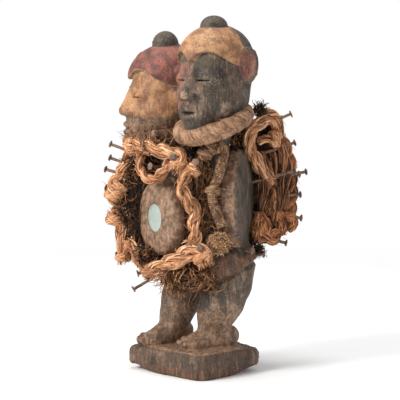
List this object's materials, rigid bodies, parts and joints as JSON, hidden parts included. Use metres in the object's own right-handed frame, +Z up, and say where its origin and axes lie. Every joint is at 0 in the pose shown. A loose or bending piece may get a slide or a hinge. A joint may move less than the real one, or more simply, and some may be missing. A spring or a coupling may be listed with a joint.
{
  "type": "nail fetish figure",
  "caption": "Carved two-headed standing power figure on a rounded plinth, its trunk hung with raffia ropes, iron nails, medicine discs and a small mirror.",
  "frame": {"origin": "centre of the plinth's flat underside", "axes": "+Z up through the figure; -Y the way the plinth's long front faces; +X the figure's left"},
  "size_m": [0.2192, 0.2102, 0.4519],
  "materials": {
    "wood": "dark worn patina, painted heads",
    "iron": "rusty, hand forged",
    "raffia": "coarse twisted raffia",
    "twine": "tight wound twine",
    "fibre": "matted dark fibre",
    "wrap": "wound bark strip",
    "mirror": "old, dull",
    "shell": "dry fruit shell"
  },
  "bodies": {
    "root": {"carved_figure": "wood", "mirror_glass": "mirror", "neck_ring_near": "wrap", "neck_ring_far": "wrap", "fruit_shell": "shell", "frayed_bundle": "raffia", "rope_top": "raffia", "rope_loop": "raffia", "rope_left_upper": "raffia", "rope_left_side": "raffia", "rope_lower_left": "raffia", "rope_bottom": "raffia", "rope_middle": "raffia", "twine_cord": "twine", "rope_right_curl": "raffia", "rope_right_outer": "raffia", "raffia_hank_right": "raffia", "rope_right_lower": "raffia", "rope_back_upper": "raffia", "rope_back_lower": "raffia", "fibre_pack_chest": "fibre", "fibre_pack_belly": "fibre", "fibre_pack_right_flank": "fibre", "fibre_pack_left_flank": "fibre", "fibre_pack_back": "fibre", "nail_left_1": "iron", "nail_left_2": "iron", "nail_left_3": "iron", "nail_left_4": "iron", "nail_left_5": "iron", "nail_left_6": "iron", "nail_left_7": "iron", "nail_front_1": "iron", "nail_front_2": "iron", "nail_front_3": "iron", "nail_front_4": "iron", "nail_front_5": "iron", "nail_front_6": "iron", "nail_front_7": "iron", "nail_right_1": "iron", "nail_right_2": "iron", "nail_right_3": "iron", "nail_right_4": "iron", "nail_right_5": "iron", "nail_right_6": "iron", "nail_right_7": "iron", "nail_right_8": "iron", "nail_right_9": "iron", "nail_right_10": "iron", "nail_back_1": "iron", "nail_back_2": "iron", "nail_back_3": "iron", "nail_back_4": "iron", "nail_back_5": "iron", "nail_back_6": "iron", "nail_back_7": "iron", "nail_back_8": "iron"}
  },
  "joints": []
}
